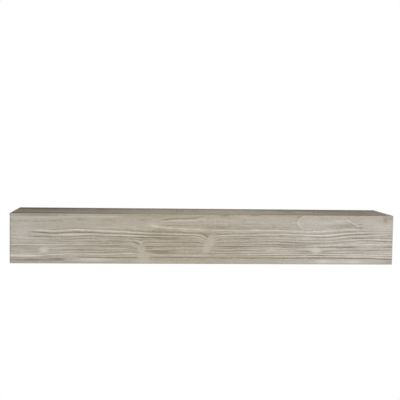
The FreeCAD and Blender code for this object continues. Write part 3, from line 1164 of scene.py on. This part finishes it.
def eased(given, pair, spacing, size, other_place, other_size):
    """The place, the drop of the rounded arris, and how much relief the edge leaves."""
    low, high = pair
    mitred = blend(spacing.high, given[low], given[high])
    seed = blend(spacing.high, given[seed_of[low]], given[seed_of[high]])
    from_corner = ramp(smaller(other_place, other_size - other_place), *CORNER_ZONE)
    wander = speckle(other_place, ARRIS_ROW, ARRIS_WANDER, seed) * from_corner
    radius = (wander + ARRIS) * mitred
    inset = spacing.inset + radius * MITRE_START * (1.0 - spacing.fine)
    gap = larger(radius - inset, 0.0)
    drop = radius - root(radius * radius - gap * gap)
    relief_share = 1.0 - mitred * (1.0 - ramp(spacing.inset, RELIEF_FROM, EDGE_ZONE))
    inset = inset + mitred * FACE_DEPTH * (1.0 - spacing.fine)
    return place_from(inset, size, spacing.high), drop, relief_share


print(f"arris radius about {ARRIS} mm, face {FACE_DEPTH} mm inside the plain solid")

# %% Helpers for geometry
MERGE_MM = 0.02


def add_node(tree, kind, inputs, **settings):
    """A node with its settings made and its inputs fed by name."""
    node = tree.nodes.new(kind)
    for label, value in settings.items():
        setattr(node, label, value)
    for label, value in inputs.items():
        feed(tree, node.inputs[label], value)
    return node


def result(node, label=None):
    """A node's output as a field: the named one, or the first."""
    return Field(node.id_data, node.outputs[label] if label else node.outputs[0])


def built(tree, kind, inputs, **settings):
    """What a new node makes."""
    return result(add_node(tree, "GeometryNode" + kind, inputs, **settings))


def store(mesh, name, value, domain="POINT"):
    """Keeps a field on the mesh as an attribute that materials can read."""
    inputs = {"Geometry": mesh, "Name": name, "Value": value}
    return built(mesh.tree, "StoreNamedAttribute", inputs, domain=domain)


def stored(tree, name):
    return built(tree, "InputNamedAttribute", {"Name": name})


def position(tree):
    """The three parts of each point's position."""
    return separate(built(tree, "InputPosition", {}))


def moved_to(mesh, place, chosen=True):
    """The mesh with its chosen points at a new place."""
    inputs = {"Geometry": mesh, "Selection": chosen, "Position": place}
    return built(mesh.tree, "SetPosition", inputs)


def merged(mesh):
    """The mesh with its doubled points made one."""
    return built(mesh.tree, "MergeByDistance", {"Geometry": mesh, "Distance": MERGE_MM})


def index_grid(tree, columns, rows):
    """A grid one unit apart, with the column and the row of each point counted from the middle."""
    sizes = {"Size X": columns - 1.0, "Size Y": rows - 1.0, "Vertices X": columns, "Vertices Y": rows}
    column, row, _ = position(tree)
    return built(tree, "MeshGrid", sizes), column, row


print(f"points closer than {MERGE_MM} mm are merged")

# %% The brushed face
RELIEF = 0.36


def brushed_face(tree, given, grain, knots):
    """The outer face of a board: a grid bent to the eased edges and cut by the brush."""
    columns, rows = given["Columns"], given["Rows"]
    long_side, short_side = given["Length"], given["Width"]
    mesh, column, row = index_grid(tree, columns, rows)
    ends = spaced(column, columns, long_side)
    sides = spaced(row, rows, short_side)
    along = gathered(place_from(ends.inset, long_side, ends.high), knots)
    across = place_from(sides.inset, short_side, sides.high)
    flow, proud, shade, knot = grain(along, across)
    kept = {"along": along, "across": across, "flow": flow, "proud": proud, "shade": shade, "knot": knot}
    for name, value in kept.items():
        mesh = store(mesh, name, value)
    x, end_drop, end_share = eased(given, BOARD_EDGES[:2], ends, long_side, across, short_side)
    y, side_drop, side_share = eased(given, BOARD_EDGES[2:], sides, short_side, along, long_side)
    relief_share = end_share * side_share
    mesh = store(mesh, "edge", 1.0 - relief_share)
    cut = FACE_DEPTH - stored(tree, "proud") * RELIEF * relief_share
    drop = larger(end_drop, side_drop) + cut
    return moved_to(mesh, vector(tree, gathered(x, knots), y, drop * -1.0))


print(f"the front stands up to {RELIEF * MOST_PROUD:.2f} mm proud of its face, or as deep in it")

# %% [markdown]
# ## Closing the board
# The face is a sheet so far. Its border is extruded to the smaller rectangle of the inside, which makes the
# mitre walls and the square back edge in one step. The inner rectangle is filled from its outline, and the
# doubles are merged, so the board is closed like a real plank and keeps its thickness.

# %% Walls and inside
LONE_FACE, HALF_FACE = 1.0, 0.5


def inner_place(place, size, thickness, low, high):
    """A border place carried in to the inner rectangle."""
    return thickness * low + place * (size - thickness * (low + high)) / size


def closed_board(tree, given, mesh):
    """Walls and inside added to the face."""
    thickness = given["Thickness"]
    border = calculate(tree, "COMPARE", built(tree, "InputMeshEdgeNeighbors", {}), LONE_FACE, HALF_FACE)
    extruded = {"Mesh": mesh, "Selection": border, "Offset Scale": 0.0}
    walls = add_node(tree, "GeometryNodeExtrudeMesh", extruded, mode="EDGES")
    low_end, high_end, low_side, high_side = (given[edge] for edge in BOARD_EDGES)
    x = inner_place(stored(tree, "along"), given["Length"], thickness, low_end, high_end)
    y = inner_place(stored(tree, "across"), given["Width"], thickness, low_side, high_side)
    rim = result(walls, "Top")
    mesh = moved_to(result(walls), vector(tree, x, y, thickness * -1.0), rim)
    mesh = store(mesh, "brushed", 1.0 - result(walls, "Side"), "FACE")
    outline = built(tree, "MeshToCurve", {"Mesh": mesh, "Selection": rim})
    inside = built(tree, "FillCurve", {"Curve": outline}, mode="NGONS")
    sunk = {"Geometry": inside, "Offset": vector(tree, 0.0, 0.0, thickness * -1.0)}
    inside = built(tree, "SetPosition", sunk)
    joined = tree.nodes.new("GeometryNodeJoinGeometry")
    for part in (inside, mesh):
        feed(tree, joined.inputs[0], part)
    return merged(result(joined))


print(f"walls go {board:.2f} mm deep, to the inside of a board")

# %% The whole board
BOARD_AXES = ("Along axis", "Across axis", "Inward axis")
BOARD_INPUTS = {
    **sockets("Float", "Length", "Width", "Thickness", *BOARD_EDGES, *EDGE_SEEDS),
    **sockets("Int", "Columns", "Rows"),
    **sockets("Vector", "Corner", *BOARD_AXES),
    **sockets("Material", "Finish"),
}
GEOMETRY = sockets("Geometry", "Geometry")
TOP_SEED, BOTTOM_SEED, LEFT_SEED, RIGHT_SEED = 3.0, 5.0, 6.0, 7.0
# painted shade: the top board's wash is made darker all over, for the light that only skims over the top
TOP_SHADE, BOTTOM_SHADE = -0.3, -0.1


def board_tree(name, grain, knots=()):
    """The whole board, moved from its own millimetres to its place in the frame."""
    tree, given, made = new_group(name, "GeometryNodeTree", BOARD_INPUTS, GEOMETRY)
    mesh = closed_board(tree, given, brushed_face(tree, given, grain, knots))
    x, y, z = position(tree)
    place = given["Corner"]
    for axis, share in zip(BOARD_AXES, (x, y, z * -1.0)):
        node = add_node(tree, "ShaderNodeVectorMath", {}, operation="MULTIPLY_ADD")
        for socket, value in zip(node.inputs, (given[axis], share * MM, place)):
            feed(tree, socket, value)
        place = result(node)
    mesh = moved_to(mesh, place)
    mesh = built(tree, "SetShadeSmooth", {"Geometry": mesh, "Shade Smooth": stored(tree, "brushed")})
    mesh = built(tree, "RealizeInstances", {"Geometry": mesh})
    mesh = built(tree, "SetMaterial", {"Geometry": mesh, "Material": given["Finish"]})
    feed(tree, made.inputs["Geometry"], mesh)
    return tree


top_grain = flat_sawn_grain(TOP_SEED, TOP_KNOTS, TOP_PATCHES, TOP_SHADE)
bottom_grain = flat_sawn_grain(BOTTOM_SEED, BOTTOM_KNOTS, BOTTOM_PATCHES, BOTTOM_SHADE)
board_trees = {
    "front": board_tree("Front board", front_grain, KNOTS),
    "top": board_tree("Top board", top_grain, TOP_KNOTS),
    "bottom": board_tree("Bottom board", bottom_grain, BOTTOM_KNOTS),
    "left": board_tree("Left end board", end_grain(0.0, -1.0, LEFT_SEED)),
    "right": board_tree("Right end board", end_grain(length, 1.0, RIGHT_SEED)),
}
print("board trees:", {name: len(tree.nodes) for name, tree in board_trees.items()})

# %% [markdown]
# ## Cutting the five boards
# Each tree now runs once with its own sizes. A corner and three axes say where the board lies: along it,
# across it, and inwards. The result is kept as a plain mesh, the modifier goes, and the new board stands
# for the plain solid of the frame, riding on the same body. The mesh is tested for gaps as it is made.

# %% Places and sizes of the boards
Board = namedtuple("Board", "node long wide columns rows corner along across inward mitred seeds finish")
X_AXIS, Y_AXIS, Z_AXIS = (1.0, 0.0, 0.0), (0.0, 1.0, 0.0), (0.0, 0.0, 1.0)
MINUS_X, MINUS_Z = (-1.0, 0.0, 0.0), (0.0, 0.0, -1.0)
ALL_MITRED = (1.0, 1.0, 1.0, 1.0)
BACK_SIDE_SQUARE = (1.0, 1.0, 1.0, 0.0)
BACK_END_SQUARE = (1.0, 0.0, 1.0, 1.0)
FRONT_TOP, FRONT_BOTTOM, FRONT_LEFT, FRONT_RIGHT = 11.0, 12.0, 13.0, 14.0
TOP_LEFT, TOP_RIGHT, BOTTOM_LEFT, BOTTOM_RIGHT, NO_EDGE = 15.0, 16.0, 17.0, 18.0, 0.0

low_left = (left, front, underside)
low_right = (right, front, underside)
top_left = (left, front, top)

BOARDS = {
    "front": Board(
        "front_board", length, height, 321, 296, low_left, X_AXIS, Z_AXIS, Y_AXIS, ALL_MITRED,
        (FRONT_LEFT, FRONT_RIGHT, FRONT_BOTTOM, FRONT_TOP), long_board_finish,
    ),
    "top": Board(
        "top_board", length, depth, 381, 229, top_left, X_AXIS, Y_AXIS, MINUS_Z, BACK_SIDE_SQUARE,
        (TOP_LEFT, TOP_RIGHT, FRONT_TOP, NO_EDGE), top_board_finish,
    ),
    "bottom": Board(
        "bottom_board", length, depth, 381, 190, low_left, X_AXIS, Y_AXIS, Z_AXIS, BACK_SIDE_SQUARE,
        (BOTTOM_LEFT, BOTTOM_RIGHT, FRONT_BOTTOM, NO_EDGE), long_board_finish,
    ),
    "left": Board(
        "left_end_board", depth, height, 114, 198, low_left, Y_AXIS, Z_AXIS, X_AXIS, BACK_END_SQUARE,
        (FRONT_LEFT, NO_EDGE, BOTTOM_LEFT, TOP_LEFT), end_board_finish,
    ),
    "right": Board(
        "right_end_board", depth, height, 114, 198, low_right, Y_AXIS, Z_AXIS, MINUS_X, BACK_END_SQUARE,
        (FRONT_RIGHT, NO_EDGE, BOTTOM_RIGHT, TOP_RIGHT), end_board_finish,
    ),
}
print("points of each face:", {name: plank.columns * plank.rows for name, plank in BOARDS.items()})

# %% Run the trees
CUBIC_CM = 1e6


def run_tree(tree, name, inputs):
    """Runs a tree once, with its inputs set by identifier, and keeps the result as a plain mesh."""
    piece = bpy.data.objects.new(name, bpy.data.meshes.new(name + "_start"))
    scene.collection.objects.link(piece)
    modifier = piece.modifiers.new("shape", "NODES")
    modifier.node_group = tree
    for item in tree.interface.items_tree:
        if item.name in inputs:
            modifier[item.identifier] = inputs[item.name]
    graph = bpy.context.evaluated_depsgraph_get()
    mesh = bpy.data.meshes.new_from_object(
        piece.evaluated_get(graph), preserve_all_data_layers=True, depsgraph=graph
    )
    piece.modifiers.remove(modifier)
    piece.data = mesh
    mesh.name = name
    return piece


def face_outwards(piece):
    """Turns all faces outwards, and prints how many there are, the open edges and the volume."""
    shell = bmesh.new()
    shell.from_mesh(piece.data)
    bmesh.ops.recalc_face_normals(shell, faces=shell.faces[:])
    open_edges = sum(1 for edge in shell.edges if len(edge.link_faces) != 2)
    volume = shell.calc_volume(signed=True) * CUBIC_CM
    print(f"{piece.name}: {len(shell.faces)} faces, {open_edges} open edges, {volume:.1f} cm3")
    shell.to_mesh(piece.data)
    shell.free()


for name, plank in BOARDS.items():
    inputs = {"Length": plank.long, "Width": plank.wide, "Thickness": board}
    inputs.update({"Columns": plank.columns, "Rows": plank.rows, "Corner": plank.corner})
    inputs.update(zip(BOARD_AXES, (plank.along, plank.across, plank.inward)))
    inputs.update(zip(BOARD_EDGES, plank.mitred))
    inputs.update(zip(EDGE_SEEDS, plank.seeds))
    inputs["Finish"] = plank.finish
    piece = run_tree(board_trees[name], "brushed_" + plank.node, inputs)
    face_outwards(piece)
    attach(piece, "beam")
    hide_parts(plank.node)

# %% [markdown]
# ## Screws of the hanging cleat
# Two countersunk wood screws hold the cleat to each rib. A screw is a round profile with a thread wound
# round it, so one tree can bend it from a grid: a column of points becomes an angle, and a row a depth. The
# thread is a saw tooth of depth and angle together, which climbs one pitch in each turn, and it starts only
# behind the cleat, so that the screw pulls the cleat tight. Two bars cut the cross recess. The finished
# screw is copied to six points, and each copy is turned further than the last, so no two recesses line up.

# %% One screw
RIM_ROW, SHAFT_ROW, HALF_ROW = 1.0, 2.0, 0.5
SECOND_CUT = 0.06  # the second bar cuts this much deeper, so that no two cut faces lie in one plane


def threaded_radius(depth_in, angle, given):
    """The core with its thread, running out to a point at the tip."""
    turn = calculate(angle.tree, "FRACT", depth_in / given["Pitch"] + angle / FULL_TURN)
    tooth = 1.0 - size_of(turn * 2.0 - 1.0)
    begun = ramp(depth_in, given["Thread start"], given["Thread start"] + given["Pitch"])
    taper = smaller((given["Length"] - depth_in) / given["Tip length"], 1.0)
    return blend(tooth * begun, given["Core radius"], given["Crest radius"]) * taper


def one_screw(tree, given):
    """A screw in millimetres, head up, with the middle of its face at the origin."""
    columns, rows = given["Columns"], given["Rows"]
    mesh, column, row = index_grid(tree, columns, rows)
    angle = column / (columns - 1.0) * -FULL_TURN
    row_number = row + (rows - 1.0) / 2.0
    on_rim = calculate(tree, "COMPARE", row_number, RIM_ROW, HALF_ROW)
    on_shaft = calculate(tree, "GREATER_THAN", row_number, SHAFT_ROW - HALF_ROW)
    head_depth = given["Head radius"] - given["Core radius"]
    row_depth = (given["Length"] - head_depth) / (rows - 1.0 - SHAFT_ROW)
    depth_in = (head_depth + (row_number - SHAFT_ROW) * row_depth) * on_shaft
    radius = given["Head radius"] * on_rim + threaded_radius(depth_in, angle, given) * on_shaft
    x = radius * calculate(tree, "COSINE", angle)
    y = radius * calculate(tree, "SINE", angle)
    mesh = merged(moved_to(mesh, vector(tree, x, y, depth_in * -1.0)))
    span, width, deep = (given[label] for label in ("Recess span", "Recess width", "Recess depth"))
    cut = add_node(tree, "GeometryNodeMeshBoolean", {"Mesh 1": mesh}, operation="DIFFERENCE")
    first_bar = vector(tree, span, width, deep * 2.0)
    second_bar = vector(tree, width, span, (deep + SECOND_CUT) * 2.0)
    for bar in (first_bar, second_bar):
        feed(tree, cut.inputs["Mesh 2"], built(tree, "MeshCube", {"Size": bar}))
    return result(cut)


print(f"the second bar of a recess cuts {SECOND_CUT} mm deeper than the first")

# %% All screws in one tree
SCREW_SIZES = (
    "Head radius", "Core radius", "Crest radius", "Length", "Thread start", "Tip length", "Pitch",
    "Recess span", "Recess width", "Recess depth", "Rib pitch", "Row gap",
)
SCREW_INPUTS = {
    **sockets("Float", *SCREW_SIZES),
    **sockets("Int", "Columns", "Rows"),
    **sockets("Vector", "Middle"),
    **sockets("Material", "Finish"),
}
RIBS, SCREWS_PER_RIB = 3, 2
SHARP_ANGLE = math.radians(40.0)
NEXT_RECESS_TURN = math.radians(137.5)


def shaded_by_angle(mesh):
    """Smooth faces with sharp edges where the surface turns sharply."""
    tree = mesh.tree
    smooth = built(tree, "SetShadeSmooth", {"Geometry": mesh, "Shade Smooth": True})
    sharp = calculate(tree, "GREATER_THAN", built(tree, "InputMeshEdgeAngle", {}), SHARP_ANGLE)
    kept = {"Geometry": smooth, "Selection": sharp, "Shade Smooth": False}
    return built(tree, "SetShadeSmooth", kept, domain="EDGE")


def cleat_screws_tree():
    """All screws of the cleat, in their places in the frame, with their heads towards the wall."""
    tree, given, made = new_group("Cleat screws", "GeometryNodeTree", SCREW_INPUTS, GEOMETRY)
    spread = {"Size X": given["Rib pitch"] * (RIBS - 1.0), "Size Y": given["Row gap"]}
    spread.update({"Vertices X": RIBS, "Vertices Y": SCREWS_PER_RIB})
    spots = built(tree, "MeshGrid", spread)
    across, up, _ = position(tree)
    copied = {"Points": moved_to(spots, vector(tree, across, 0.0, up)), "Instance": one_screw(tree, given)}
    copied["Rotation"] = (-FULL_TURN / 4.0, 0.0, 0.0)
    copies = built(tree, "InstanceOnPoints", copied)
    number = built(tree, "InputIndex", {})
    spun = {"Instances": copies, "Rotation": vector(tree, 0.0, 0.0, number * NEXT_RECESS_TURN)}
    copies = built(tree, "RotateInstances", spun)
    sized = {"Geometry": copies, "Translation": given["Middle"], "Scale": (MM, MM, MM)}
    mesh = built(tree, "Transform", sized)
    mesh = shaded_by_angle(built(tree, "RealizeInstances", {"Geometry": mesh}))
    mesh = built(tree, "SetMaterial", {"Geometry": mesh, "Material": given["Finish"]})
    feed(tree, made.inputs["Geometry"], mesh)
    return tree


screw_tree = cleat_screws_tree()
print("tree:", screw_tree.name, "with", len(screw_tree.nodes), "nodes")

# %% [markdown]
# ## Driving the screws
# On the real beam the screws sit flush in the cleat, two into each rib. They could be placed by eye, but
# the frame already knows where they are. The box round its plain screws gives their length and heads, the
# ribs give the spacing, and the thickness of the cleat says where the thread starts. So the threaded screws
# sit just where the plain ones did, and only the thread and the recess are new.

# %% Run the screw tree
SHAFT_RADIUS = 2.25
CORE_RADIUS = 1.6
THREAD_PITCH = 2.2
TIP_LENGTH = 6.0
RECESS_SPAN, RECESS_WIDTH, RECESS_DEPTH = 4.2, 1.1, 1.8
SCREW_COLUMNS = 25
ROWS_PER_TURN = 6

screws_low, screws_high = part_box("hanging_cleat_screws")
cleat_low, cleat_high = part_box("hanging_cleat")
rib_middles = [sum(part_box(f"rib_{number}"), Vector()).x / 2.0 for number in range(1, RIBS + 1)]
rib_pitch = (rib_middles[-1] - rib_middles[0]) / (RIBS - 1.0) / MM
screw_span, screw_length, screw_rise = (screws_high - screws_low) / MM
head_radius = screw_span / 2.0 - rib_pitch
screw_middle = (screws_low + screws_high) / 2.0
screw_inputs = {
    "Head radius": head_radius,
    "Core radius": CORE_RADIUS,
    "Crest radius": SHAFT_RADIUS,
    "Length": screw_length,
    "Thread start": (cleat_high.y - cleat_low.y) / MM,
    "Tip length": TIP_LENGTH,
    "Pitch": THREAD_PITCH,
    "Recess span": RECESS_SPAN,
    "Recess width": RECESS_WIDTH,
    "Recess depth": RECESS_DEPTH,
    "Rib pitch": rib_pitch,
    "Row gap": screw_rise - head_radius * 2.0,
    "Columns": SCREW_COLUMNS,
    "Rows": round(screw_length / THREAD_PITCH * ROWS_PER_TURN),
    "Middle": (screw_middle.x, screws_high.y, screw_middle.z),
    "Finish": zinc,
}
screws = run_tree(screw_tree, "threaded_cleat_screws", screw_inputs)
face_outwards(screws)
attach(screws, "beam")
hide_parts("hanging_cleat_screws")

# %% [markdown]
# ## Inner pieces
# Ribs, strips and blocks stiffen the hollow beam, biscuits lock its mitres, and the cleats carry it. They
# could be rebuilt as the boards were, but planed wood has no relief to add and the frame has their real
# shapes already, so they keep those and only get a finish. A node's name says what it is, and the first
# word that fits decides.

# %% Finishes of the inner pieces
INNER_FINISHES = {
    "screws": zinc,
    "rib": rib_pine,
    "glue_strip": strip_pine,
    "corner_block": block_pine,
    "biscuits": beech,
    "cleat": plywood,
}
finished = 0
for name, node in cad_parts.items():
    for word, material in INNER_FINISHES.items():
        if word in name:
            node.data.materials.clear()
            node.data.materials.append(material)
            finished += 1
            break
print("inner pieces finished:", finished)

# %% [markdown]
# ## Studio
# A large soft lamp in front and above gives the face its even light and leaves the top darker, because
# its light only skims over the top. A weaker one behind and below shows the cleats and the underside, and
# can't reach the top or the face. The world fills the shadows. To the camera it is plain white, as a paper
# backdrop is. The floor lies as far down as a mantel shelf hangs above a room's floor, so it takes only a
# faint shadow, and it fades into the white round its rim. From below it is see-through.

# %% World and lamps
WHITE = (1.0, 1.0, 1.0, 1.0)
AMBIENT = 0.34
Lamp = namedtuple("Lamp", "place size watts")
LAMPS = {
    "front_lamp": Lamp((0.6, -2.9, 1.15), (2.4, 1.4), 76.0),
    "back_lamp": Lamp((-0.5, 2.6, -0.65), (2.2, 0.9), 28.0),
}


def studio_world():
    world = bpy.data.worlds.new("studio")
    world.use_nodes = True
    tree = world.node_tree
    rays = tree.nodes.new("ShaderNodeLightPath")
    seen = Field(tree, rays.outputs["Is Camera Ray"])
    for kind in ("Is Glossy Ray", "Is Transmission Ray"):
        seen = larger(seen, Field(tree, rays.outputs[kind]))
    background = tree.nodes["Background"]
    background.inputs["Color"].default_value = WHITE
    feed(tree, background.inputs["Strength"], blend(seen, AMBIENT, 1.0))
    return world


def soft_lamp(name, place, size, watts):
    """A rectangular lamp that faces the middle of the beam and is not itself seen."""
    lamp_data = bpy.data.lights.new(name, "AREA")
    lamp_data.shape = "RECTANGLE"
    lamp_data.size, lamp_data.size_y = size
    lamp_data.energy = watts
    lamp = bpy.data.objects.new(name, lamp_data)
    lamp.location = place
    lamp.visible_camera = False
    middle = (cad_low + cad_high) / 2.0
    lamp.rotation_euler = (middle - Vector(place)).to_track_quat("-Z", "Y").to_euler()
    scene.collection.objects.link(lamp)


scene.world = studio_world()
for name, lamp in LAMPS.items():
    soft_lamp(name, *lamp)
print("lamps:", list(LAMPS))

# %% Floor
FLOOR_BELOW = 1.35
FLOOR_RADIUS = 2.4
FLOOR_SIDES = 96
FLOOR_COLOUR = (0.83, 0.83, 0.83, 1.0)
FLOOR_ROUGHNESS, FLOOR_SPECULAR = 0.9, 0.1
FADE_FROM, FADE_TO = FLOOR_RADIUS * 0.35, FLOOR_RADIUS * 0.92


def floor_finish():
    """Pale in the middle, white at the rim for the camera, and see-through from below."""
    material, tree, shader = new_material("pale_floor")
    shader.inputs["Base Color"].default_value = FLOOR_COLOUR
    shader.inputs["Roughness"].default_value = FLOOR_ROUGHNESS
    shader.inputs["Specular IOR Level"].default_value = FLOOR_SPECULAR
    x, y, _ = object_place(tree)
    rim = ramp(root(x * x + y * y) * MM, FADE_FROM, FADE_TO)
    white = tree.nodes.new("ShaderNodeEmission")
    seen = Field(tree, tree.nodes.new("ShaderNodeLightPath").outputs["Is Camera Ray"])
    below = Field(tree, tree.nodes.new("ShaderNodeNewGeometry").outputs["Backfacing"])
    clear = tree.nodes.new("ShaderNodeBsdfTransparent")
    surface = shader.outputs[0]
    for share, other in ((rim * seen, white), (below, clear)):
        mix = tree.nodes.new("ShaderNodeMixShader")
        feed(tree, mix.inputs[0], share)
        tree.links.new(surface, mix.inputs[1])
        tree.links.new(other.outputs[0], mix.inputs[2])
        surface = mix.outputs[0]
    tree.links.new(surface, tree.nodes["Material Output"].inputs["Surface"])
    return material


def lay_floor(floor_height):
    """A wide disc that belongs to the stage and not to the shelf."""
    shell = bmesh.new()
    bmesh.ops.create_circle(shell, cap_ends=True, segments=FLOOR_SIDES, radius=FLOOR_RADIUS)
    bmesh.ops.translate(shell, verts=shell.verts, vec=(0.0, 0.0, floor_height))
    mesh = bpy.data.meshes.new("floor")
    shell.to_mesh(mesh)
    shell.free()
    mesh.materials.append(floor_finish())
    disc = bpy.data.objects.new("floor", mesh)
    scene.collection.objects.link(disc)
    disc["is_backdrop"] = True


lay_floor(underside - FLOOR_BELOW)
print("floor at", round(underside - FLOOR_BELOW, 3))

# %% [markdown]
# ## Sizes of the model
# The boards were cut inwards from the frame's faces, so the visible model must lie inside the frame's box.
# Both boxes are gathered, and the visible one is printed.

# %% Gather the sizes
seen_low, seen_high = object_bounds()
sizes = {
    "cad": [list(cad_low), list(cad_high)],
    "visual": [list(seen_low), list(seen_high)],
}
print("visual box:", [round(v, 5) for v in seen_low], [round(v, 5) for v in seen_high])
